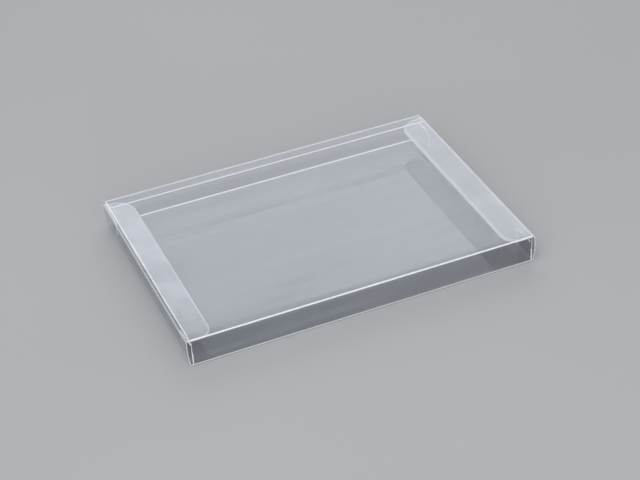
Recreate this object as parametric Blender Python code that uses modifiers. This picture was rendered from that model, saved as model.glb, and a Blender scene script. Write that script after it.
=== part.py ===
"""Clear folded sleeve that protects a boxed game case.

One die-cut sheet of clear plastic is creased into a flat rectangular sleeve. Its glue flap
is bonded under the top panel along the back, four dust flaps fold in from the front and
back walls, and at each end a panel folds up from the bottom and tucks its tongue in under
the top panel. Metres, +Z up, the origin under the middle of the bottom panel, X along the
sleeve, -Y towards the front wall.
"""

import math

import bmesh
import bpy
from mathutils import Vector

MM = 0.001

# Sheet
SHEET = 0.4 * MM
FOLD_RADIUS = 0.2 * MM          # inside of a crease
FOLD_STEPS = 4

# Sleeve, outside sizes between the creases of the bottom panel
LENGTH = 192.6 * MM
WIDTH = 137.0 * MM
HEIGHT = 16.0 * MM

# Glue flap, bonded under the free edge of the top panel
GLUE_FLAP_WIDTH = 7.5 * MM
GLUE_LINE = 0.1 * MM            # thickness of the glue between flap and panel
GLUE_BEAD_WIDTH = 4.0 * MM
GLUE_BEAD_INSET = 1.6 * MM      # from the flap's free edge to the glue
GLUE_END_INSET = 2.0 * MM       # from the end of the sleeve to the glue
TOP_EDGE_INSET = 0.4 * MM       # the top panel's free edge stops short of the back wall

# Dust flaps, turned in from the ends of the front and back walls
DUST_REACH = 17.4 * MM          # along its upper edge, from the wall's outer face
DUST_TIP_SLANT = 2.4 * MM       # the tip leans back towards the wall at the bottom
DUST_BOTTOM = 0.9 * MM          # height of its lower edge
DUST_DROP_AT_WALL = 3.5 * MM    # from the top of the box to its upper edge, beside the wall
DUST_DROP_AT_BEND = 3.7 * MM    # and where the chamfer starts
DUST_DROP_AT_TIP = 5.1 * MM
DUST_BEND = 9.0 * MM            # from the wall's outer face to the start of the chamfer
DUST_TIP_RADIUS = 1.6 * MM

# End flaps, each hinged on the end crease of the bottom panel
CREASE_GAP = 0.3 * MM           # a crease that bends is a narrow gap between two pieces
END_FLAP_SIDE_INSET = 0.5 * MM  # from the walls' outer faces to its side edges
END_FLAP_LEAN = 1.0 * MM        # the upper crease stands this far outside the lower one
END_FLAP_BOW = 0.4 * MM         # the panel bulges outwards between its creases
END_FLAP_STEPS = 8
TOP_PANEL_OVERHANG = 0.8 * MM   # the top panel runs this far past the ends of the walls

# Tongues, each folded in from the upper crease of its end flap
TONGUE_LENGTH = 14.8 * MM
TUCK_CLEARANCE = 0.25 * MM      # between a tongue's crease and the glue flap above it
TONGUE_SIDE_INSET = 1.2 * MM    # from the walls' outer faces to its side edges
TONGUE_SLOPE = 6.0              # degrees, down towards its free edge
TONGUE_CORNER_RADIUS = 10.0 * MM
TONGUE_CORNER_STEPS = 14

# Look of the sheet
CLEAR_COLOR = (0.80, 0.83, 0.88, 0.30)
CLEAR_ROUGHNESS = 0.08

# Worked out from the sizes above
HALF_SHEET = SHEET / 2
MID_RADIUS = FOLD_RADIUS + HALF_SHEET
SIDE = WIDTH / 2 - HALF_SHEET
BOTTOM_LEVEL = HALF_SHEET
TOP_LEVEL = HEIGHT - HALF_SHEET
GLUE_FLAP_LEVEL = TOP_LEVEL - SHEET - GLUE_LINE
TONGUE_LEVEL = GLUE_FLAP_LEVEL - SHEET - TUCK_CLEARANCE
END_FLAP_HEIGHT = TONGUE_LEVEL - HALF_SHEET - CREASE_GAP - BOTTOM_LEVEL
HINGE_X = LENGTH / 2 - HALF_SHEET
PANEL_END = HINGE_X - HALF_SHEET - CREASE_GAP
DUST_PLANE = PANEL_END - HALF_SHEET
WALL_END = DUST_PLANE - MID_RADIUS
MERGE = 0.00001


def remove_old_objects():
    """Remove whatever the open file holds."""
    for thing in list(bpy.data.objects):
        bpy.data.objects.remove(thing, do_unlink=True)


def collection(name):
    """A new collection in the scene."""
    group = bpy.data.collections.new(name)
    bpy.context.scene.collection.children.link(group)
    return group


def clear_plastic(name):
    """Clear plastic sheet."""
    material = bpy.data.materials.new(name)
    material.use_nodes = True
    shader = material.node_tree.nodes["Principled BSDF"]
    shader.inputs["Base Color"].default_value = CLEAR_COLOR
    shader.inputs["Alpha"].default_value = CLEAR_COLOR[3]
    shader.inputs["Roughness"].default_value = CLEAR_ROUGHNESS
    shader.inputs["Metallic"].default_value = 0.0
    material.diffuse_color = CLEAR_COLOR
    return material


def sheet_object(name, shape, group):
    """An object made from the middle surface of the sheet."""
    mesh = bpy.data.meshes.new(name)
    shape.to_mesh(mesh)
    shape.free()
    return place_sheet(name, mesh, group)


def place_sheet(name, mesh, group):
    """Put a middle surface in the scene, with a material of its own."""
    piece = bpy.data.objects.new(name, mesh)
    if not mesh.materials:
        mesh.materials.append(None)
    piece.material_slots[0].link = "OBJECT"
    piece.material_slots[0].material = clear_plastic(name + "_plastic")
    group.objects.link(piece)
    return piece


def thicken(piece):
    """Give the middle surface the thickness of the sheet."""
    solid = piece.modifiers.new("sheet thickness", "SOLIDIFY")
    solid.thickness = SHEET
    solid.offset = 0.0
    solid.use_even_offset = True


def fold_points(corner, came_from, goes_to):
    """Points round a crease of the middle surface, from one panel to the next."""
    corner = Vector(corner)
    start = (Vector(came_from) - corner).normalized()
    end = (Vector(goes_to) - corner).normalized()
    centre = corner + (start + end) * MID_RADIUS
    points = []
    for step in range(FOLD_STEPS + 1):
        turn = math.pi / 2 * step / FOLD_STEPS
        points.append(centre - end * MID_RADIUS * math.cos(turn) - start * MID_RADIUS * math.sin(turn))
    return points


def sleeve_section():
    """The sheet's path round the sleeve, as (y, z), from the glue flap to the top panel's edge."""
    glue_edge = Vector((WIDTH / 2 - GLUE_FLAP_WIDTH, GLUE_FLAP_LEVEL))
    back_top = Vector((SIDE, GLUE_FLAP_LEVEL))
    back_bottom = Vector((SIDE, BOTTOM_LEVEL))
    front_bottom = Vector((-SIDE, BOTTOM_LEVEL))
    front_top = Vector((-SIDE, TOP_LEVEL))
    top_edge = Vector((WIDTH / 2 - TOP_EDGE_INSET, TOP_LEVEL))
    flap_high = Vector((0, HEIGHT - DUST_DROP_AT_WALL))
    flap_low = Vector((0, DUST_BOTTOM))
    across = Vector((SIDE, 0))
    path = [glue_edge]
    path += fold_points(back_top, glue_edge, back_bottom)
    path += [across + flap_high, across + flap_low]
    path += fold_points(back_bottom, back_top, front_bottom)
    path += fold_points(front_bottom, back_bottom, front_top)
    path += [-across + flap_low, -across + flap_high]
    path += fold_points(front_top, front_bottom, top_edge)
    path.append(top_edge)
    return path


def chain(shape, points):
    """Join points with a line of edges and return the edges."""
    verts = [shape.verts.new(point) for point in points]
    return [shape.edges.new(pair) for pair in zip(verts, verts[1:])]


def extrude(shape, edges, offset):
    """Extrude edges along an offset and return the new edges."""
    made = bmesh.ops.extrude_edge_only(shape, edges=edges)["geom"]
    bmesh.ops.translate(shape, verts=[g for g in made if isinstance(g, bmesh.types.BMVert)], vec=offset)
    return [g for g in made if isinstance(g, bmesh.types.BMEdge)]


def edges_where(edges, test):
    """The edges whose two ends both pass the test."""
    return [edge for edge in edges if all(test(vert.co) for vert in edge.verts)]


def extend_end_panels(shape, end_edges):
    """Run the bottom and top panels on past the ends of the walls."""
    inner = SIDE - MID_RADIUS + MERGE
    bottom = edges_where(end_edges, lambda co: abs(co.z - BOTTOM_LEVEL) < MERGE and abs(co.y) < inner)
    top = edges_where(end_edges, lambda co: abs(co.z - TOP_LEVEL) < MERGE)
    extrude(shape, bottom, Vector((PANEL_END - WALL_END, 0, 0)))
    extrude(shape, top, Vector((TOP_PANEL_OVERHANG, 0, 0)))


def add_dust_flap(shape, end_edges, side):
    """Fold a dust flap in from the end of a wall; side is 1 at the back and -1 at the front."""
    low, high = DUST_BOTTOM - MERGE, HEIGHT - DUST_DROP_AT_WALL + MERGE
    root = edges_where(end_edges, lambda co: co.y * side > SIDE - MERGE and low < co.z < high)
    turned = bmesh.ops.spin(
        shape, geom=root, angle=side * math.pi / 2, steps=FOLD_STEPS,
        axis=(0, 0, 1), cent=(WALL_END, side * (SIDE - MID_RADIUS), 0))["geom_last"]
    edge = [g for g in turned if isinstance(g, bmesh.types.BMEdge)]
    wall = WIDTH / 2
    edge = extrude(shape, edge, Vector())
    set_flap_edge(edge, side * (wall - DUST_BEND), side * (wall - DUST_BEND), DUST_DROP_AT_BEND)
    edge = extrude(shape, edge, Vector())
    set_flap_edge(edge, side * (wall - DUST_REACH), side * (wall - DUST_REACH + DUST_TIP_SLANT),
                  DUST_DROP_AT_TIP)
    bmesh.ops.bevel(shape, geom=list(edge[0].verts), offset=DUST_TIP_RADIUS, segments=4,
                    profile=0.5, affect="VERTICES", material=-1)


def set_flap_edge(edges, upper_y, lower_y, drop):
    """Place the upper and lower ends of the edge that crosses a dust flap."""
    lower, upper = sorted(edges[0].verts, key=lambda vert: vert.co.z)
    upper.co = (DUST_PLANE, upper_y, HEIGHT - drop)
    lower.co = (DUST_PLANE, lower_y, DUST_BOTTOM)


def make_sleeve(parts, helpers):
    """Walls, glue flap and dust flaps: half of it, mirrored, thickened and glued."""
    shape = bmesh.new()
    section = chain(shape, [(0, y, z) for y, z in sleeve_section()])
    end_edges = extrude(shape, section, Vector((WALL_END, 0, 0)))
    extend_end_panels(shape, end_edges)
    add_dust_flap(shape, end_edges, 1)
    add_dust_flap(shape, end_edges, -1)
    bmesh.ops.recalc_face_normals(shape, faces=shape.faces)
    sleeve = sheet_object("sleeve", shape, parts)
    mirror = sleeve.modifiers.new("two ends alike", "MIRROR")
    mirror.merge_threshold = MERGE
    thicken(sleeve)
    glue = sleeve.modifiers.new("glued seam", "BOOLEAN")
    glue.operation = "UNION"
    glue.object = make_glue_bead(helpers)
    return sleeve


def make_glue_bead(helpers):
    """The bead of glue that joins the glue flap to the top panel."""
    sink = SHEET / 8
    front = WIDTH / 2 - GLUE_FLAP_WIDTH + GLUE_BEAD_INSET
    size = (LENGTH - 2 * GLUE_END_INSET, GLUE_BEAD_WIDTH, GLUE_LINE + 2 * sink)
    centre = Vector((0, front + GLUE_BEAD_WIDTH / 2, TOP_LEVEL - HALF_SHEET - GLUE_LINE / 2))
    shape = bmesh.new()
    bmesh.ops.create_cube(shape, size=1)
    bmesh.ops.scale(shape, verts=shape.verts, vec=size)
    bmesh.ops.translate(shape, verts=shape.verts, vec=centre)
    mesh = bpy.data.meshes.new("glue_bead")
    shape.to_mesh(mesh)
    shape.free()
    bead = bpy.data.objects.new("glue_bead", mesh)
    bead.hide_render = True
    bead.display_type = "WIRE"
    helpers.objects.link(bead)
    return bead


def end_flap_mesh():
    """An end flap standing on its hinge axis, bowed outwards towards +X."""
    half_width = WIDTH / 2 - END_FLAP_SIDE_INSET
    points = []
    for step in range(END_FLAP_STEPS + 1):
        rise = step / END_FLAP_STEPS
        out = END_FLAP_LEAN * rise + 4 * END_FLAP_BOW * rise * (1 - rise)
        points.append((out, -half_width, END_FLAP_HEIGHT * rise))
    shape = bmesh.new()
    extrude(shape, chain(shape, points), Vector((0, 2 * half_width, 0)))
    mesh = bpy.data.meshes.new("end_flap")
    shape.to_mesh(mesh)
    shape.free()
    return mesh


def tongue_axis():
    """The tongue's fold axis from the end flap's hinge axis: at its upper edge, on the inside."""
    return Vector((END_FLAP_LEAN - HALF_SHEET - CREASE_GAP / 2, 0, END_FLAP_HEIGHT + CREASE_GAP / 2))


def tongue_mesh():
    """A tongue lying over its fold axis, pointing towards -X, with its free corners rounded."""
    half_width = WIDTH / 2 - TONGUE_SIDE_INSET
    level = CREASE_GAP / 2 + HALF_SHEET
    crease = SHEET + CREASE_GAP / 2
    shape = bmesh.new()
    edge = chain(shape, [(crease, -half_width, level), (crease, half_width, level)])
    tip = extrude(shape, edge, Vector((-TONGUE_LENGTH - crease, 0, 0)))
    bmesh.ops.bevel(shape, geom=list(tip[0].verts), offset=TONGUE_CORNER_RADIUS,
                    segments=TONGUE_CORNER_STEPS, profile=0.5, affect="VERTICES", material=-1)
    mesh = bpy.data.meshes.new("tuck_tongue")
    shape.to_mesh(mesh)
    shape.free()
    return mesh


def make_tuck_flaps(parts, sleeve):
    """An end flap and its tongue at each end, alike but turned half round."""
    flap_shape = end_flap_mesh()
    tongue_shape = tongue_mesh()
    for name, end, turn in (("right", 1, 0.0), ("left", -1, math.pi)):
        flap = place_sheet(name + "_end_flap", flap_shape, parts)
        flap.parent = sleeve
        flap.location = (end * HINGE_X, 0, BOTTOM_LEVEL)
        flap.rotation_euler = (0, 0, turn)
        thicken(flap)
        tongue = place_sheet(name + "_tuck_tongue", tongue_shape, parts)
        tongue.parent = flap
        tongue.location = tongue_axis()
        tongue.rotation_euler = (0, -math.radians(TONGUE_SLOPE), 0)
        thicken(tongue)


def main():
    remove_old_objects()
    parts = collection("game_box_protector")
    helpers = collection("helpers")
    sleeve = make_sleeve(parts, helpers)
    make_tuck_flaps(parts, sleeve)
    bpy.context.view_layer.update()


main()
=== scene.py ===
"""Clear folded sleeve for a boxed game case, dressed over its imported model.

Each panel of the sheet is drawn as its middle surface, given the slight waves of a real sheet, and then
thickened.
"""
import functools
import math

import bmesh
import bpy
from mathutils import Euler, Matrix, Vector


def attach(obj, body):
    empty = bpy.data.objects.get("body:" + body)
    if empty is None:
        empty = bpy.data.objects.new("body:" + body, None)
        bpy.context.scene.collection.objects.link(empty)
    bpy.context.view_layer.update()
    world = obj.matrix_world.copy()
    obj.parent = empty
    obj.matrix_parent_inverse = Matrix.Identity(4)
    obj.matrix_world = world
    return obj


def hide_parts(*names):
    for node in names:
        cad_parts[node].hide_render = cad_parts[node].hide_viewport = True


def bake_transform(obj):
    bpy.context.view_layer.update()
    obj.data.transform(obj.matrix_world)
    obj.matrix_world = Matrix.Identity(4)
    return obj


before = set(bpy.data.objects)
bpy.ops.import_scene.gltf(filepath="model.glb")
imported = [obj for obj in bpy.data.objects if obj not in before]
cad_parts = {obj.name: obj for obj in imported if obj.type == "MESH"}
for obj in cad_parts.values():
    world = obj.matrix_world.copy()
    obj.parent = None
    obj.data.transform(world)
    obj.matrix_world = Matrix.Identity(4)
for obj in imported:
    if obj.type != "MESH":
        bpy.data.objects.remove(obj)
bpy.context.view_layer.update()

MM = 0.001
MERGE = 0.01 * MM                   # nearer than this is the same place

# Sheet and folded sleeve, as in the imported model
SHEET = 0.4 * MM
HALF_SHEET = SHEET / 2
FOLD_RADIUS = 0.4 * MM              # of a crease's middle surface
FOLD_STEPS = 8
SHARP_ANGLE = math.radians(32)      # a sharper turn than this is a cut edge
LENGTH, WIDTH, HEIGHT = 192.6 * MM, 137.0 * MM, 16.0 * MM
WALL = WIDTH / 2                    # outer face of the back wall
SIDE = WALL - HALF_SHEET            # and its middle surface
BOTTOM_LEVEL = HALF_SHEET
TOP_LEVEL = HEIGHT - HALF_SHEET
TOP_EDGE = WALL - SHEET             # free edge of the top panel, over the glue flap
GLUE_GAP = 0.1 * MM
GLUE_EDGE = WALL - 7.5 * MM         # free edge of the glue flap
GLUE_FLAP_LEVEL = TOP_LEVEL - SHEET - GLUE_GAP
HINGE_X = LENGTH / 2 - HALF_SHEET
FOOT_SETBACK = 0.5 * MM             # from the hinge axis in to the bottom panel's end
PANEL_END = HINGE_X - FOOT_SETBACK
DUST_PLANE = PANEL_END - HALF_SHEET
WALL_END = DUST_PLANE - FOLD_RADIUS
TOP_END = WALL_END + 0.8 * MM       # the top panel runs on past the walls

# Line of glue
GLUE_LENGTH = LENGTH - 6 * MM
GLUE_WIDTH = 3.6 * MM
GLUE_THICKNESS = 0.06 * MM
GLUE_Y = GLUE_EDGE + 1.8 * MM + GLUE_WIDTH / 2      # its middle
GLUE_WANDER = 0.12 * MM             # of its two sides
GLUE_STEPS, GLUE_CROSS_STEPS = 96, 4

# Dust flaps
DUST_BOTTOM = 0.9 * MM
DUST_TOP_AT_WALL = HEIGHT - 3.5 * MM
DUST_TOP_AT_BEND = HEIGHT - 3.7 * MM
DUST_TOP_AT_TIP = HEIGHT - 5.1 * MM
DUST_BEND_Y = WALL - 9.0 * MM       # where the chamfer starts
DUST_TIP_Y = WALL - 17.4 * MM
DUST_TIP_SLANT = 2.4 * MM           # its lower end is this much nearer the wall
DUST_TIP_RADIUS = 1.6 * MM
DUST_TIP_STEPS = 6
DUST_SPRING = 0.7 * MM              # the tips stand away from the end flap

# End flaps, measured from their hinge axis
END_FLAP_HALF_WIDTH = WALL - 0.5 * MM
END_FLAP_HEIGHT = 13.95 * MM
END_FLAP_FOOT = 0.35 * MM           # where the crease at its foot ends
END_FLAP_HEAD = END_FLAP_HEIGHT - 0.2 * MM  # and where the one at its head starts
END_FLAP_LEAN = 1.0 * MM            # outwards, at its head
END_FLAP_BOW = 0.4 * MM             # further out, at half its height
END_FLAP_STEPS = 14

# Tongues, measured from their fold axis
CREASE_GAP = 0.3 * MM
TONGUE_LEVEL = CREASE_GAP / 2 + HALF_SHEET  # of its middle surface
TONGUE_HALF_WIDTH = WALL - 1.2 * MM
TONGUE_LENGTH = 14.8 * MM
TONGUE_SLOPE = math.radians(6.0)    # down from its crease to its free edge
TONGUE_CORNER = 10.0 * MM
TONGUE_CORNER_STEPS = 18
TONGUE_RUN = 15.13 * MM             # level way from the crease to the free edge

# Strips that close the creases
STRIP_GAP = 0.03 * MM               # to the panel at either end
STRIP_STEPS = 8

# Waves of the sheet, and how finely it is cut for them
TOP_WAVE = 0.34 * MM
WALL_WAVE = 0.16 * MM
BOTTOM_WAVE = 0.12 * MM
END_FLAP_WAVE = 0.14 * MM
TONGUE_WAVE = 0.12 * MM
PITCH = 3.8 * MM
WALL_PITCH = 1.9 * MM
TONGUE_PITCH, TONGUE_CROSS_PITCH = 3.4 * MM, 1.6 * MM
STRIP_PITCH = 4.0 * MM

# Clear sheet
SHEET_INDEX = 1.575                 # of refraction
SHEET_TINT = (0.785, 0.80, 0.82)    # light that one sheet lets through
BONDED_TINT = (0.985, 0.988, 0.99, 1)
GLOSS_COLOUR = (0.97, 0.98, 1.0, 1)
HAZE_COLOUR = (0.935, 0.95, 0.992, 1)
# Whitening at creases and edges, partly painted highlight, and the base of the painted glint
WHITE_COLOUR = (0.965, 0.975, 0.985, 1)
# Painted glint that some edges give off, though the sleeve is no lamp
PAINTED_GLINT_COLOUR = (0.95, 0.97, 1.0, 1)
PAINTED_GLINT_STRENGTH = 1.5

# Cut edges, glue and floor
EDGE_TINT = (0.93, 0.95, 0.97, 1)
FROST_COLOUR = (0.93, 0.95, 0.98, 1)
GLUE_TINT = (0.975, 0.98, 0.98, 1)
GLUE_COLOUR = (0.85, 0.86, 0.84, 1)
FLOOR_COLOURS = (0.440, 0.448, 0.462, 1), (0.455, 0.462, 0.475, 1)
FLOOR_REACH = 4.0                   # from its middle to each side
FLOOR_DROP = 0.25 * MM              # under the surface that the bottom panel rests on

# Camera at the photograph's place
SENSOR_WIDTH, LENS = 36.0, 97.46    # in millimetres
CAMERA_PLACE = (-0.27282, -0.71246, 0.54685)
CAMERA_TURN = (54.377, 3.010, -23.305)      # about x, y and z, in degrees


# Mesh helpers

def spaced(first, last, steps):
    """Places from first to last in equal steps."""
    return [first + (last - first) * step / steps for step in range(steps + 1)]


def evenly(first, last, pitch):
    """Places between first and last, about a pitch apart."""
    return spaced(first, last, max(1, round((last - first) / pitch)))[1:-1]


def ease(value, low, high):
    """0 below low, 1 above high, smooth between."""
    t = min(1.0, max(0.0, (value - low) / (high - low)))
    return t * t * (3 - 2 * t)


def everything(shape):
    """All the geometry of a shape."""
    return shape.verts[:] + shape.edges[:] + shape.faces[:]


def edges_of(geometry):
    """The edges in what an operator returned."""
    return [part for part in geometry if isinstance(part, bmesh.types.BMEdge)]


def edges_where(edges, test):
    """The edges whose two ends both pass the test."""
    return [edge for edge in edges if all(test(vert.co) for vert in edge.verts)]


def chain(shape, points):
    """Join points with a line of edges and return the edges."""
    verts = [shape.verts.new(point) for point in points]
    return [shape.edges.new(pair) for pair in zip(verts, verts[1:])]


def extrude(shape, edges, offset):
    """Extrude edges along an offset and return the new edges."""
    made = bmesh.ops.extrude_edge_only(shape, edges=edges)["geom"]
    bmesh.ops.translate(shape, verts=[part for part in made if isinstance(part, bmesh.types.BMVert)],
                        vec=offset)
    return edges_of(made)


def round_corners(shape, edge, radius, segments):
    """Round both ends of an edge of the sheet."""
    bmesh.ops.bevel(shape, geom=list(edge.verts), offset=radius, segments=segments,
                    profile=0.5, affect="VERTICES", material=-1)


def cut_across(shape, axis, places):
    """Cut the sheet by planes square to an axis, for the waves to bend."""
    normal = Vector([1.0 if i == "XYZ".index(axis) else 0.0 for i in range(3)])
    for place in places:
        bmesh.ops.bisect_plane(shape, geom=everything(shape), dist=MERGE, plane_co=normal * place,
                               plane_no=normal)


def set_in_place(shape, place):
    """Move a shape to its place, with its faces turned one way."""
    bmesh.ops.transform(shape, matrix=place, verts=shape.verts)
    bmesh.ops.recalc_face_normals(shape, faces=shape.faces)


def sheet_piece(name, shape, materials, thickness=SHEET):
    """Thicken a middle surface into a closed sheet; its cut edges take the second material."""
    mesh = bpy.data.meshes.new(name)
    shape.to_mesh(mesh)
    shape.free()
    piece = bpy.data.objects.new(name, mesh)
    bpy.context.scene.collection.objects.link(piece)
    for material in materials:
        mesh.materials.append(material)
    solid = piece.modifiers.new("sheet thickness", "SOLIDIFY")
    solid.thickness = thickness
    solid.offset = 0.0
    solid.material_offset_rim = 1
    view = bpy.context.evaluated_depsgraph_get()
    finished = bpy.data.meshes.new_from_object(piece.evaluated_get(view))
    finished.name = name
    piece.modifiers.clear()
    piece.data = finished
    bpy.data.meshes.remove(mesh)
    finished.polygons.foreach_set("use_smooth", [True] * len(finished.polygons))
    finished.set_sharp_from_angle(angle=SHARP_ANGLE)
    return piece


# Sleeve

def fold_points(corner, came_from, goes_to):
    """Points round a crease of the middle surface, from one panel to the next."""
    corner = Vector(corner)
    start = (Vector(came_from) - corner).normalized()
    end = (Vector(goes_to) - corner).normalized()
    centre = corner + (start + end) * FOLD_RADIUS
    return [centre - end * FOLD_RADIUS * math.cos(turn) - start * FOLD_RADIUS * math.sin(turn)
            for turn in spaced(0, math.pi / 2, FOLD_STEPS)]


def sleeve_section():
    """The sheet's path round the sleeve, as (y, z), from the glue flap to the top panel's edge."""
    glue_edge = Vector((GLUE_EDGE, GLUE_FLAP_LEVEL))
    back_top = Vector((SIDE, GLUE_FLAP_LEVEL))
    back_bottom = Vector((SIDE, BOTTOM_LEVEL))
    front_bottom = Vector((-SIDE, BOTTOM_LEVEL))
    front_top = Vector((-SIDE, TOP_LEVEL))
    top_edge = Vector((TOP_EDGE, TOP_LEVEL))
    path = [glue_edge]
    path += fold_points(back_top, glue_edge, back_bottom)
    path += [Vector((SIDE, DUST_TOP_AT_WALL)), Vector((SIDE, DUST_BOTTOM))]
    path += fold_points(back_bottom, back_top, front_bottom)
    path += fold_points(front_bottom, back_bottom, front_top)
    path += [Vector((-SIDE, DUST_BOTTOM)), Vector((-SIDE, DUST_TOP_AT_WALL))]
    path += fold_points(front_top, front_bottom, top_edge)
    path.append(top_edge)
    return path


def extend_end_panels(shape, end_edges):
    """Run the bottom and top panels on past the ends of the walls."""
    inner = SIDE - FOLD_RADIUS + MERGE
    bottom = edges_where(end_edges, lambda co: abs(co.z - BOTTOM_LEVEL) < MERGE and abs(co.y) < inner)
    top = edges_where(end_edges, lambda co: abs(co.z - TOP_LEVEL) < MERGE)
    extrude(shape, bottom, Vector((PANEL_END - WALL_END, 0, 0)))
    extrude(shape, top, Vector((TOP_END - WALL_END, 0, 0)))


def extend_dust_flap(shape, edges, upper_y, lower_y, top):
    """Run a dust flap on to its next crossing edge, and return that edge."""
    edges = extrude(shape, edges, Vector())
    lower, upper = sorted(edges[0].verts, key=lambda vert: vert.co.z)
    upper.co = (DUST_PLANE, upper_y, top)
    lower.co = (DUST_PLANE, lower_y, DUST_BOTTOM)
    return edges


def add_dust_flap(shape, end_edges, side):
    """Fold a dust flap in from the end of a wall; side is 1 at the back and -1 at the front."""
    low, high = DUST_BOTTOM - MERGE, DUST_TOP_AT_WALL + MERGE
    root = edges_where(end_edges, lambda co: co.y * side > SIDE - MERGE and low < co.z < high)
    turned = bmesh.ops.spin(
        shape, geom=root, angle=side * math.pi / 2, steps=FOLD_STEPS,
        axis=(0, 0, 1), cent=(WALL_END, side * (SIDE - FOLD_RADIUS), 0))["geom_last"]
    bend = extend_dust_flap(shape, edges_of(turned), side * DUST_BEND_Y, side * DUST_BEND_Y,
                            DUST_TOP_AT_BEND)
    tip = extend_dust_flap(shape, bend, side * DUST_TIP_Y, side * (DUST_TIP_Y + DUST_TIP_SLANT),
                           DUST_TOP_AT_TIP)
    round_corners(shape, tip[0], DUST_TIP_RADIUS, DUST_TIP_STEPS)


def wave_top(x, y):
    """How far the top panel stands off its flat, held along its front crease and its glued edge."""
    along, across = x / LENGTH, y / WIDTH
    held = ease(y + SIDE, 0, 26 * MM) * ease(GLUE_EDGE - y, 0, 22 * MM)
    long_wave = 0.6 * math.sin(2.1 * math.pi * (along + 0.31)) * math.cos(1.3 * math.pi * across + 0.4)
    cross_wave = 0.45 * math.sin(3.4 * math.pi * (along - 0.7 * across) + 1.1)
    edge_lift = 0.35 * math.sin(5.0 * math.pi * across + 0.6) * ease(abs(x), 55 * MM, 95 * MM)
    return TOP_WAVE * held * (long_wave + cross_wave + edge_lift - 0.35)


def wave_bottom(x, y):
    """How far the bottom panel stands off its flat, held along all its creases."""
    held = ease(SIDE - abs(y), 0, 20 * MM) * ease(PANEL_END - abs(x), 0, 20 * MM)
    return BOTTOM_WAVE * held * (1 + math.sin(3 * math.pi * x / LENGTH + 2 * y / WIDTH))


def wave_wall(x, z, phase):
    """How far a wall bulges out, held at its two creases."""
    along = math.pi * x / LENGTH
    held = math.sin(math.pi * min(1.0, max(0.0, z / HEIGHT)))
    return WALL_WAVE * held * (0.6 + 0.5 * math.sin(2.6 * along + phase) + 0.2 * math.sin(7 * along))


def wave_sleeve(shape):
    """Give every panel of the sleeve the slight waves of a real sheet."""
    for vert in shape.verts:
        x, y, z = vert.co
        if abs(x) > WALL_END and BOTTOM_LEVEL + MERGE < z < TOP_LEVEL - MERGE:
            reach = WALL - abs(y)
            vert.co.x -= math.copysign(DUST_SPRING * ease(reach, 0, 1.6 * (WALL - DUST_TIP_Y)), x)
        elif abs(z - TOP_LEVEL) < MERGE:
            vert.co.z += wave_top(x, y)
        elif abs(z - BOTTOM_LEVEL) < MERGE and abs(y) < SIDE - FOLD_RADIUS:
            vert.co.z += wave_bottom(x, y)
        elif abs(abs(y) - SIDE) < MERGE:
            vert.co.y += math.copysign(wave_wall(x, z, 0.4 if y < 0 else 2.0), y)


def make_sleeve(materials):
    """The four walls, the glue flap and the four dust flaps, in one folded sheet."""
    shape = bmesh.new()
    section = chain(shape, [(0, y, z) for y, z in sleeve_section()])
    end_edges = extrude(shape, section, Vector((WALL_END, 0, 0)))
    extend_end_panels(shape, end_edges)
    add_dust_flap(shape, end_edges, 1)
    add_dust_flap(shape, end_edges, -1)
    bmesh.ops.mirror(shape, geom=everything(shape), axis="X", merge_dist=MERGE)
    cut_across(shape, "X", evenly(-WALL_END, WALL_END, PITCH))
    cut_across(shape, "Y", evenly(-SIDE + 1 * MM, SIDE - 1 * MM, PITCH))
    cut_across(shape, "Z", evenly(DUST_BOTTOM, DUST_TOP_AT_WALL, WALL_PITCH))
    bmesh.ops.recalc_face_normals(shape, faces=shape.faces)
    wave_sleeve(shape)
    sleeve = sheet_piece("folded_sleeve", shape, materials)
    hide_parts("sleeve")
    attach(sleeve, "sleeve")


def make_glue_line(material):
    """The line of glue between the glue flap and the top panel."""
    shape = bmesh.new()
    bmesh.ops.create_grid(shape, x_segments=GLUE_STEPS, y_segments=GLUE_CROSS_STEPS, size=0.5)
    bmesh.ops.scale(shape, verts=shape.verts, vec=(GLUE_LENGTH, GLUE_WIDTH, 1))
    level = TOP_LEVEL - HALF_SHEET - GLUE_GAP / 2
    bmesh.ops.translate(shape, verts=shape.verts, vec=(0, GLUE_Y, level))
    for vert in shape.verts:
        from_middle = (vert.co.y - GLUE_Y) / (GLUE_WIDTH / 2)
        wander = math.sin(vert.co.x / (5.3 * MM)) + math.sin(vert.co.x / (2.1 * MM) + 1.0)
        vert.co.y += from_middle * GLUE_WANDER * wander
    glue = sheet_piece("glue_line", shape, [material, material], GLUE_THICKNESS)
    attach(glue, "sleeve")


# End flaps and tongues, drawn at the right end and turned half round for the left

def end_flap_out(z):
    """How far out the bowed end flap stands, at a height over its hinge axis."""
    rise = z / END_FLAP_HEIGHT
    return END_FLAP_LEAN * rise + 4 * END_FLAP_BOW * rise * (1 - rise)


def tongue_frame():
    """Places a tongue drawn level over its fold axis on the end flap."""
    axis = (END_FLAP_LEAN - HALF_SHEET - CREASE_GAP / 2, 0, END_FLAP_HEIGHT + CREASE_GAP / 2)
    return Matrix.Translation(axis) @ Matrix.Rotation(-TONGUE_SLOPE, 4, "Y")


def end_frame(turn):
    """Places a piece measured from the right hinge axis at its end of the sleeve."""
    return Matrix.Rotation(turn, 4, "Z") @ Matrix.Translation((HINGE_X, 0, BOTTOM_LEVEL))


def across_sleeve(shape, section, half_width):
    """Draw a section, given as (x, z), from side to side of the sleeve."""
    edges = chain(shape, [(x, -half_width, z) for x, z in section])
    extrude(shape, edges, Vector((0, 2 * half_width, 0)))


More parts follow.
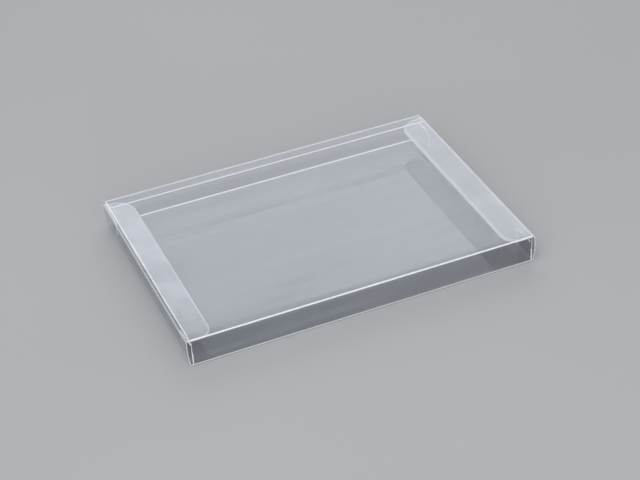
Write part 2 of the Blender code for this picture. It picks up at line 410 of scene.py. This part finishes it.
def make_end_flap(side, turn, materials):
    """The bowed end panel that folds up from the bottom panel."""
    shape = bmesh.new()
    heights = spaced(END_FLAP_FOOT, END_FLAP_HEAD, END_FLAP_STEPS)
    across_sleeve(shape, [(end_flap_out(z), z) for z in heights], END_FLAP_HALF_WIDTH)
    cut_across(shape, "Y", evenly(-END_FLAP_HALF_WIDTH, END_FLAP_HALF_WIDTH, PITCH))
    phase = 0.8 if side == "right" else 2.3
    for vert in shape.verts:
        across = vert.co.y / WIDTH
        wave = math.sin(3.1 * math.pi * across + phase) + 0.5 * math.sin(8 * across)
        vert.co.x += END_FLAP_WAVE * math.sin(math.pi * vert.co.z / END_FLAP_HEIGHT) * wave
    set_in_place(shape, end_frame(turn))
    flap = sheet_piece(side + "_end_panel", shape, materials)
    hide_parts(side + "_end_flap")
    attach(flap, side + "_end_flap")


def make_tongue(side, turn, materials):
    """The tongue that tucks in under the top panel, with its free corners rounded."""
    shape = bmesh.new()
    root = chain(shape, [(0, -TONGUE_HALF_WIDTH, TONGUE_LEVEL), (0, TONGUE_HALF_WIDTH, TONGUE_LEVEL)])
    tip = extrude(shape, root, Vector((-TONGUE_LENGTH, 0, 0)))
    round_corners(shape, tip[0], TONGUE_CORNER, TONGUE_CORNER_STEPS)
    cut_across(shape, "X", evenly(-TONGUE_LENGTH, 0, TONGUE_CROSS_PITCH))
    cut_across(shape, "Y", evenly(-TONGUE_HALF_WIDTH, TONGUE_HALF_WIDTH, TONGUE_PITCH))
    phase = 1.9 if side == "right" else 0.2
    for vert in shape.verts:
        across = math.pi * vert.co.y / WIDTH
        wave = math.sin(4.3 * across + phase) + 0.6 * math.sin(9.5 * across)
        vert.co.z -= TONGUE_WAVE * ease(-vert.co.x, 0, TONGUE_LENGTH) * (1 + 0.6 * wave)
    set_in_place(shape, end_frame(turn) @ tongue_frame())
    tongue = sheet_piece(side + "_tongue", shape, materials)
    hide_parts(side + "_tuck_tongue")
    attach(tongue, side + "_tuck_tongue")


def foot_section():
    """The strip from the bottom panel's end round the crease to the end flap's foot, as (x, z)."""
    radius = END_FLAP_FOOT - STRIP_GAP
    turns = spaced(-math.pi / 2, 0, STRIP_STEPS)
    bend = [(radius * math.cos(turn) - radius, radius + radius * math.sin(turn)) for turn in turns]
    return [(-FOOT_SETBACK + STRIP_GAP, 0)] + bend


def head_section():
    """The strip from the end flap's head over the crease to the tongue's root, as (x, z)."""
    over = tongue_frame()
    head = END_FLAP_HEAD + STRIP_GAP
    on_flap = Vector((end_flap_out(head), 0, head))
    on_tongue = over @ Vector((STRIP_GAP, 0, TONGUE_LEVEL))
    # The curve's corner is just outside the end flap, as high as the tongue run on to there
    run_on = over @ Vector((0.25 * MM, 0, TONGUE_LEVEL))
    corner = Vector((on_flap.x + 0.05 * MM, 0, run_on.z))
    path = [on_flap * (1 - t) ** 2 + corner * 2 * t * (1 - t) + on_tongue * t * t
            for t in spaced(0, 1, STRIP_STEPS)]
    return [(point.x, point.z) for point in path]


def crease_piece(name, section, half_width, turn, materials):
    """A narrow strip round a crease that bends from one body to the next."""
    shape = bmesh.new()
    across_sleeve(shape, section, half_width)
    cut_across(shape, "Y", evenly(-half_width, half_width, STRIP_PITCH))
    place = end_frame(turn)
    set_in_place(shape, place)
    crease = sheet_piece(name, shape, materials)
    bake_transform(crease)


def make_creases(side, turn, materials):
    """The creases at the foot of an end flap and between it and its tongue."""
    foot, head = foot_section(), head_section()
    crease_piece(side + "_foot_crease", foot, END_FLAP_HALF_WIDTH, turn, materials)
    crease_piece(side + "_tongue_crease", head, TONGUE_HALF_WIDTH, turn, materials)


# Materials

class Nodes:
    """The nodes of one material. Most methods add what they say and return its output."""

    def __init__(self, name):
        """Start an empty material, with the place on the object and its x, y and z."""
        self.material = bpy.data.materials.new(name)
        self.material.use_nodes = True
        self.tree = self.material.node_tree
        self.tree.nodes.clear()
        self.place = self.add("TexCoord").outputs["Object"]
        self.x, self.y, self.z = self.add("SeparateXYZ", {"Vector": self.place}).outputs

    def add(self, kind, inputs=None, **settings):
        """Add any node and return it; an input is a plain value or the output that feeds it."""
        made = self.tree.nodes.new("ShaderNode" + kind)
        for name, value in settings.items():
            setattr(made, name, value)
        for name, value in (inputs or {}).items():
            socket = made.inputs[name]
            if isinstance(value, bpy.types.NodeSocket):
                self.tree.links.new(value, socket)
            else:
                socket.default_value = value
        return made

    def maths(self, operation, *values, clamp=False):
        """One step of arithmetic."""
        return self.add("Math", dict(enumerate(values)), operation=operation, use_clamp=clamp).outputs[0]

    def chained(self, operation, values):
        """One kind of arithmetic over all the values in turn."""
        return functools.reduce(lambda first, second: self.maths(operation, first, second), values)

    def plus(self, *values):
        """The sum."""
        return self.chained("ADD", values)

    def times(self, *values):
        """The product."""
        return self.chained("MULTIPLY", values)

    def largest(self, *values):
        """The largest value."""
        return self.chained("MAXIMUM", values)

    def smallest(self, *values):
        """The smallest value."""
        return self.chained("MINIMUM", values)

    def minus(self, first, second):
        """The first value less the second."""
        return self.maths("SUBTRACT", first, second)

    def size(self, value):
        """A value without its sign."""
        return self.maths("ABSOLUTE", value)

    def over(self, value, limit):
        """1 over the limit, else 0."""
        return self.maths("GREATER_THAN", value, limit)

    def under(self, value, limit):
        """1 under the limit, else 0."""
        return self.maths("LESS_THAN", value, limit)

    def distance(self, first, second):
        """The distance that two legs at a right angle span."""
        return self.maths("SQRT", self.plus(self.times(first, first), self.times(second, second)))

    def ramp(self, value, low, high, at_low=0.0, at_high=1.0):
        """A smooth step between two limits."""
        return self.add("MapRange", {"Value": value, "From Min": low, "From Max": high,
                                     "To Min": at_low, "To Max": at_high},
                        interpolation_type="SMOOTHSTEP", clamp=True).outputs["Result"]

    def near(self, distance, inner, outer, most=1.0, least=0.0):
        """Most within the inner distance, fading to least at the outer one."""
        return self.ramp(distance, inner, outer, most, least)

    def noise(self, scale, detail=2.0, rough=0.5, stretch=None):
        """A noise pattern, stretched by a different size along each axis if asked."""
        place = self.place
        if stretch:
            place = self.add("Mapping", {"Vector": place, "Scale": stretch}).outputs["Vector"]
        return self.add("TexNoise", {"Vector": place, "Scale": scale, "Detail": detail,
                                     "Roughness": rough}).outputs["Fac"]

    def colour(self, share, first, second):
        """A blend of two colours; the Mix node repeats its sockets' names, so these go by number."""
        return self.add("Mix", {"Factor": share, 6: first, 7: second}, data_type="RGBA").outputs[2]

    def clear(self, colour):
        """A body that light goes straight through."""
        return self.add("BsdfTransparent", {"Color": colour}).outputs[0]

    def solid(self, colour, roughness, **more):
        """A solid body; more names its other inputs, with _ for a space."""
        inputs = {name.replace("_", " "): value for name, value in more.items()}
        return self.add("BsdfPrincipled", {"Base Color": colour, "Roughness": roughness, **inputs}).outputs[0]

    def layer(self, share, below, above):
        """A share of one finish over another."""
        return self.add("MixShader", {0: share, 1: below, 2: above}).outputs[0]

    def finished(self, surface):
        """Join the finish to the material's output and return the material."""
        self.add("OutputMaterial", {"Surface": surface})
        return self.material


def everywhere(nodes):
    """1 on the whole piece."""
    return 1.0


def nowhere(nodes):
    """0 on the whole piece."""
    return 0.0


def folds_of_sleeve(nodes):
    """1 on the sleeve's creases, fading sooner on the upper ones than on the lower, whose wider band is
    painted highlight.
    """
    from_side = nodes.minus(nodes.size(nodes.y), SIDE)
    from_end = nodes.minus(nodes.size(nodes.x), DUST_PLANE - 0.1 * MM)
    from_level = nodes.minus(nodes.size(nodes.minus(nodes.z, HEIGHT / 2)), HEIGHT / 2 - HALF_SHEET)
    nearest = nodes.smallest(nodes.distance(from_side, from_level), nodes.distance(from_side, from_end))
    lower = nodes.times(nodes.under(nodes.z, HEIGHT / 2), nodes.near(nearest, 0.55 * MM, 1.0 * MM))
    return nodes.largest(nodes.near(nearest, 0.36 * MM, 0.62 * MM), lower)


def seam_of_sleeve(nodes):
    """1 along the free edge of the glue flap."""
    from_seam = nodes.size(nodes.minus(nodes.y, GLUE_EDGE + 0.2 * MM))
    return nodes.times(nodes.near(from_seam, 0.35 * MM, 0.65 * MM),
                       nodes.over(nodes.z, HEIGHT - 1.2 * MM),
                       nodes.under(nodes.z, TOP_LEVEL - 0.25 * MM))


def crease_of_sleeve(nodes):
    """1 on the sleeve's creases and along its seam, where the whitening is partly real and partly painted
    highlight.
    """
    return nodes.largest(folds_of_sleeve(nodes), seam_of_sleeve(nodes))


def sloping_edge(nodes, along, first, last):
    """The height of a straight edge over a place along it, from its (place, height) ends."""
    rise = (last[1] - first[1]) / (last[0] - first[0])
    return nodes.maths("MULTIPLY_ADD", along, rise, first[1] - rise * first[0])


def painted_glint_on_dust_flap_rim(nodes):
    """1 along the cut outline of the back dust flaps, and about half as much on the front ones, where a
    painted glint lies.
    """
    across = nodes.size(nodes.y)
    level = sloping_edge(nodes, across, (DUST_BEND_Y, DUST_TOP_AT_BEND), (WALL, DUST_TOP_AT_WALL))
    chamfer = sloping_edge(nodes, across, (DUST_TIP_Y, DUST_TOP_AT_TIP), (DUST_BEND_Y, DUST_TOP_AT_BEND))
    tip = sloping_edge(nodes, nodes.z, (DUST_BOTTOM, DUST_TIP_Y + DUST_TIP_SLANT),
                       (DUST_TOP_AT_TIP, DUST_TIP_Y))
    from_top = nodes.minus(nodes.smallest(level, chamfer), nodes.z)
    from_edge = nodes.smallest(from_top, nodes.minus(across, tip))
    return nodes.times(nodes.near(from_edge, 0.5 * MM, 0.95 * MM),
                       nodes.over(nodes.size(nodes.x), WALL_END - 1.0 * MM),
                       nodes.under(nodes.z, DUST_TOP_AT_WALL + 0.3 * MM),
                       nodes.over(nodes.z, SHEET + 0.1 * MM),
                       nodes.under(across, SIDE - 0.7 * MM),
                       nodes.ramp(nodes.y, -WALL, 0.0, 0.5, 1.0))


def painted_glint_of_sleeve(nodes):
    """Painted glints given off by the edges: the dust flaps most, then the left end, the seam and the back
    foot.
    """
    seam = nodes.times(seam_of_sleeve(nodes), 0.16)
    back_foot = nodes.times(folds_of_sleeve(nodes), nodes.over(nodes.y, 0.0),
                            nodes.under(nodes.z, 1.5 * MM), 0.13)
    left_end = nodes.times(nodes.near(nodes.x, -TOP_END + 0.35 * MM, -TOP_END + 0.6 * MM, 0.21),
                           nodes.over(nodes.z, TOP_LEVEL - 0.3 * MM))
    return nodes.largest(painted_glint_on_dust_flap_rim(nodes), seam, back_foot, left_end)


def free_of_glue(nodes):
    """0 on the upper face of the glue flap, where glue fills the gap and nothing mirrors."""
    over_flap = nodes.over(nodes.y, GLUE_EDGE + 1.0 * MM)
    from_face = nodes.size(nodes.minus(nodes.z, GLUE_FLAP_LEVEL + HALF_SHEET))
    return nodes.minus(1.0, nodes.times(over_flap, nodes.under(from_face, 0.06 * MM)))


def on_glue_flap(nodes):
    """1 on the glue flap, which is bonded to the top panel and looks as clear as one sheet."""
    from_flap = nodes.size(nodes.minus(nodes.z, GLUE_FLAP_LEVEL))
    return nodes.times(nodes.over(nodes.y, GLUE_EDGE - 0.3 * MM), nodes.under(from_flap, 0.25 * MM))


def crease_of_end_flap(nodes):
    """1 at the foot of an end flap, and partly so at its head and along its side edges; this whitening is
    partly painted highlight.
    """
    foot = nodes.near(nodes.z, 0.6 * MM, 1.1 * MM)
    head = nodes.ramp(nodes.z, END_FLAP_HEIGHT - 0.25 * MM, END_FLAP_HEIGHT + 0.25 * MM, 0.0, 0.4)
    from_side = nodes.minus(END_FLAP_HALF_WIDTH, nodes.size(nodes.y))
    return nodes.largest(foot, head, nodes.near(from_side, 0.3 * MM, 0.7 * MM, 0.8))


def edge_of_tongue(nodes, band_width, root_whitening_and_highlight):
    """Near 1 along the free edge of a tongue, less in a band inside it, and as asked at its root; the band is
    painted highlight, the line and root partly so.
    """
    x, y = nodes.size(nodes.x), nodes.size(nodes.y)
    past_x = nodes.minus(HINGE_X + END_FLAP_LEAN - TONGUE_RUN + TONGUE_CORNER, x)
    past_y = nodes.minus(y, TONGUE_HALF_WIDTH - TONGUE_CORNER)
    corner = nodes.distance(nodes.largest(past_x, 0.0), nodes.largest(past_y, 0.0))
    inner = nodes.smallest(nodes.largest(past_x, past_y), 0.0)
    from_edge = nodes.minus(TONGUE_CORNER, nodes.plus(corner, inner))
    line = nodes.near(from_edge, 0.35 * MM, 0.7 * MM, 0.95)
    band = nodes.near(from_edge, 0.75 * band_width, 1.1 * band_width, 0.55)
    root = nodes.ramp(x, HINGE_X + 0.2 * MM, HINGE_X + 0.6 * MM, 0.0, root_whitening_and_highlight)
    return nodes.largest(root, line, band)


def edge_of_left_tongue(nodes):
    """A fine line along the left tongue's free edge, partly painted highlight."""
    return edge_of_tongue(nodes, 0.9 * MM, 0.0)


def edge_of_right_tongue(nodes):
    """A line and a wide pale band along the right tongue's free edge, the band being painted highlight."""
    return edge_of_tongue(nodes, 2.1 * MM, 0.4)


def painted_sheen_of_left_tongue(nodes):
    """Painted sheen on the left tongue, more towards its back end, and less outside the top panel."""
    along = nodes.ramp(nodes.y, -55.0 * MM, 50.0 * MM, -0.16, 0.34)
    uncovered = nodes.ramp(nodes.size(nodes.x), TOP_END - 0.1 * MM, TOP_END + 0.2 * MM, 0.0, 0.6)
    return nodes.minus(along, uncovered)


def ridge_of_crease(nodes):
    """1 along the ridge at an end flap's head, less on the left, and partly so over its foot; this whitening
    is partly painted highlight.
    """
    out = nodes.minus(nodes.size(nodes.x), HINGE_X + END_FLAP_LEAN)
    up = nodes.minus(nodes.z, BOTTOM_LEVEL + END_FLAP_HEIGHT + TONGUE_LEVEL)
    head = nodes.times(nodes.near(nodes.distance(out, up), 0.30 * MM, 0.62 * MM, 1.0, 0.12),
                       nodes.ramp(nodes.x, -1 * MM, 1 * MM, 0.35, 1.0))
    return nodes.largest(head, nodes.times(nodes.under(nodes.z, HEIGHT / 2), 0.55))


def lines_and_painted_wall_shade(nodes, lines):
    """How much light the drawn lines let through: a little less on a panel, and less yet on a wall, where the
    extra darkening is painted shade.
    """
    normal = nodes.add("NewGeometry").outputs["True Normal"]
    level = nodes.size(nodes.add("SeparateXYZ", {"Vector": normal}).outputs["Z"])
    line_and_wall_shade = nodes.maths("MULTIPLY_ADD", nodes.near(level, 0.3, 0.7), 0.17, 0.02)
    return nodes.minus(1.0, nodes.times(line_and_wall_shade, nodes.ramp(lines, 0.30, 0.70, 0.35, 1.0)))


def clear_layer(nodes, lines, clouds, mirroring, bonded):
    """Clear tinted sheet with its gloss, which is both faces' share taken on the outer one."""
    relief = nodes.plus(lines, nodes.times(clouds, 1.2))
    bump = nodes.add("Bump", {"Strength": 0.12, "Distance": 0.3 * MM, "Height": relief}).outputs["Normal"]
    one_face = nodes.add("Fresnel", {"IOR": SHEET_INDEX, "Normal": bump}).outputs[0]
    both_faces = nodes.maths("DIVIDE", nodes.times(one_face, 2.0), nodes.plus(one_face, 1.0))
    gloss = nodes.add("BsdfAnisotropic", {"Color": GLOSS_COLOUR, "Normal": bump,
                                          "Roughness": nodes.ramp(clouds, 0.3, 0.7, 0.05, 0.11)}).outputs[0]
    tint_of_a_face = [math.sqrt(share) for share in SHEET_TINT]
    tint = nodes.add("VectorMath", {0: tint_of_a_face, "Scale": lines_and_painted_wall_shade(nodes, lines)},
                     operation="SCALE").outputs[0]
    tint = nodes.colour(bonded, tint, BONDED_TINT)
    share = nodes.maths("MULTIPLY", both_faces, mirroring, clamp=True)
    return nodes.layer(share, nodes.clear(tint), gloss)


def haze_body(nodes):
    """The pale body of haze and scuffs, which also passes a little light on."""
    passing = nodes.add("BsdfTranslucent", {"Color": HAZE_COLOUR}).outputs[0]
    return nodes.layer(0.15, nodes.solid(HAZE_COLOUR, 0.30, IOR=SHEET_INDEX), passing)


def milkiness(nodes, lines, clouds, haze, patches):
    """How cloudy the sheet is, from its haze, scuffs, drawn lines, worn patches and specks."""
    scuffs = nodes.ramp(nodes.noise(1.0, 4.0, 0.7, (60, 900, 900)), 0.66, 0.78, 0.0, 0.05)
    worn = nodes.ramp(nodes.noise(48.0, 1.0), 0.5, 0.72, 0.0, patches)
    specks = nodes.ramp(nodes.noise(900.0, 1.0), 0.74, 0.80, 0.0, 0.10)
    drawn = nodes.ramp(lines, 0.45, 0.75, 0.0, 0.03)
    return nodes.plus(nodes.ramp(clouds, 0.35, 0.70, haze[0], haze[1]), scuffs, drawn, worn, specks)


def clear_sheet(name, crease, painted_glint=nowhere, free_face=everywhere, bonded=nowhere, painted_sheen=nowhere,
                haze=(0.015, 0.05), patches=0.0):
    """Clear glossy sheet: drawn lines, haze, fine scuffs, crease whitening that is partly painted highlight,
    and painted glints at edges.
    """
    nodes = Nodes(name)
    lines = nodes.noise(1.0, 1.0, 0.4, (6, 170, 170))
    clouds = nodes.noise(26.0, 2.0, 0.45)
    outside = nodes.minus(1.0, nodes.add("NewGeometry").outputs["Backfacing"])
    milky = nodes.plus(milkiness(nodes, lines, clouds, haze, patches), painted_sheen(nodes))
    # Whitening at creases and edges: partly real stress whitening, partly painted highlight
    crease_whitening_and_highlight = nodes.times(crease(nodes), nodes.ramp(nodes.noise(1400.0), 0.25, 0.75, 0.72, 0.96))
    whitening_and_highlight_finish = nodes.solid(WHITE_COLOUR, 0.25, IOR=SHEET_INDEX)
    # A painted glint: this finish gives off light, though the sleeve is no lamp
    painted_glint_finish = nodes.solid(WHITE_COLOUR, 0.3, IOR=SHEET_INDEX, Emission_Color=PAINTED_GLINT_COLOUR,
                          Emission_Strength=PAINTED_GLINT_STRENGTH)
    mirroring = nodes.times(outside, free_face(nodes))
    surface = clear_layer(nodes, lines, clouds, mirroring, bonded(nodes))
    surface = nodes.layer(nodes.maths("MULTIPLY", milky, outside, clamp=True), surface, haze_body(nodes))
    surface = nodes.layer(nodes.maths("MULTIPLY", crease_whitening_and_highlight, outside, clamp=True), surface, whitening_and_highlight_finish)
    surface = nodes.layer(nodes.times(painted_glint(nodes), outside, 0.9), surface, painted_glint_finish)
    return nodes.finished(surface)


def cut_edge(name):
    """The die-cut edge of the sheet, lightly frosted, which gathers light from the sheet."""
    nodes = Nodes(name)
    grain = nodes.noise(2200.0)
    frosted = nodes.solid(FROST_COLOUR, nodes.ramp(grain, 0.3, 0.7, 0.22, 0.45), IOR=SHEET_INDEX)
    share = nodes.ramp(grain, 0.3, 0.7, 0.55, 0.85)
    return nodes.finished(nodes.layer(share, nodes.clear(EDGE_TINT), frosted))


def clear_glue(name):
    """Clear glue, a little uneven, with fine bubbles."""
    nodes = Nodes(name)
    uneven = nodes.ramp(nodes.noise(1.0, 3.0, stretch=(120, 420, 420)), 0.3, 0.75, 0.0, 0.05)
    bubbles = nodes.ramp(nodes.noise(1500.0, 1.0), 0.66, 0.74, 0.0, 0.15)
    share = nodes.plus(uneven, bubbles)
    return nodes.finished(nodes.layer(share, nodes.clear(GLUE_TINT), nodes.solid(GLUE_COLOUR, 0.4)))


def pale_floor(name):
    """A plain pale matt floor."""
    nodes = Nodes(name)
    tone = nodes.ramp(nodes.noise(3.0), 0.3, 0.7)
    return nodes.finished(nodes.solid(nodes.colour(tone, *FLOOR_COLOURS), 0.75))


# Stage

def make_floor():
    """A wide floor just under the sleeve."""
    shape = bmesh.new()
    bmesh.ops.create_grid(shape, x_segments=1, y_segments=1, size=FLOOR_REACH)
    bmesh.ops.translate(shape, verts=shape.verts, vec=(0, 0, -FLOOR_DROP))
    mesh = bpy.data.meshes.new("floor")
    shape.to_mesh(mesh)
    shape.free()
    mesh.materials.append(pale_floor("pale_floor"))
    floor = bpy.data.objects.new("floor", mesh)
    bpy.context.scene.collection.objects.link(floor)


def towards(azimuth, elevation):
    """A direction by its angles in degrees, azimuth 0 being +Y and 90 being +X."""
    turn, lift = math.radians(azimuth), math.radians(elevation)
    return math.sin(turn) * math.cos(lift), math.cos(turn) * math.cos(lift), math.sin(lift)


def make_softbox(name, direction, distance, width, height, radiance, colour=(1, 1, 1)):
    """A soft lamp that faces the sleeve from a direction."""
    data = bpy.data.lights.new(name, "AREA")
    data.shape = "RECTANGLE"
    data.size, data.size_y = width, height
    data.energy = radiance * math.pi * width * height
    data.color = colour
    lamp = bpy.data.objects.new(name, data)
    lamp.location = Vector(direction).normalized() * distance
    lamp.rotation_euler = Vector(direction).to_track_quat("Z", "Y").to_euler()
    lamp.visible_camera = False
    bpy.context.scene.collection.objects.link(lamp)


def make_lights():
    """Wide weak lamps, of which the top panel mirrors the two behind, and an even surround."""
    cool = (0.945, 0.955, 1.0)
    make_softbox("back_softbox", towards(24, 32.5), distance=1.5, width=0.70, height=0.42,
                 radiance=0.55, colour=cool)
    make_softbox("back_bounce", towards(22, 34), distance=1.6, width=1.7, height=1.2,
                 radiance=0.73, colour=cool)
    make_softbox("top_softbox", (-0.25, -0.2, 0.95), distance=1.6, width=1.3, height=1.3, radiance=1.7)
    make_softbox("front_fill", towards(205, 28), distance=2.4, width=3.2, height=2.0, radiance=1.4)
    world = bpy.data.worlds.new("studio")
    world.use_nodes = True
    background = world.node_tree.nodes["Background"]
    background.inputs["Color"].default_value = (0.40, 0.405, 0.415, 1)
    background.inputs["Strength"].default_value = 1.0
    bpy.context.scene.world = world


def make_camera():
    """The camera at the photograph's place."""
    data = bpy.data.cameras.new("camera")
    data.sensor_width = SENSOR_WIDTH
    data.lens = LENS
    data.clip_start, data.clip_end = 0.05, 50.0
    camera = bpy.data.objects.new("camera", data)
    turn = Euler([math.radians(angle) for angle in CAMERA_TURN])
    camera.matrix_world = Matrix.LocRotScale(Vector(CAMERA_PLACE), turn, None)
    bpy.context.scene.collection.objects.link(camera)
    bpy.context.scene.camera = camera


def make_ends(edge):
    """The end flap, the tongue and their creases at each end."""
    crease = clear_sheet("bent_crease", ridge_of_crease)
    panel = clear_sheet("end_panel_sheet", crease_of_end_flap)
    ends = (("right", 0.0, edge_of_right_tongue, nowhere),
            ("left", math.pi, edge_of_left_tongue, painted_sheen_of_left_tongue))
    for side, turn, tongue_edge_whitening_and_highlight, painted_sheen in ends:
        # The tongues' heavy haze is partly painted reflection, which pales the end strips
        tongue = clear_sheet(side + "_tongue_sheet", tongue_edge_whitening_and_highlight, painted_sheen=painted_sheen, haze=(0.34, 0.54),
                             patches=0.20)
        make_end_flap(side, turn, [panel, edge])
        make_tongue(side, turn, [tongue, edge])
        make_creases(side, turn, [crease, edge])


def main():
    """The dressed sleeve on its stage."""
    scene = bpy.context.scene
    scene.view_settings.view_transform = "Standard"
    scene.cycles.transparent_max_bounces = 64
    edge = cut_edge("frosted_cut_edge")
    sheet = clear_sheet("sleeve_sheet", crease_of_sleeve, painted_glint_of_sleeve, free_of_glue, on_glue_flap)
    make_sleeve([sheet, edge])
    make_glue_line(clear_glue("clear_glue"))
    make_ends(edge)
    make_floor()
    make_lights()
    make_camera()


main()
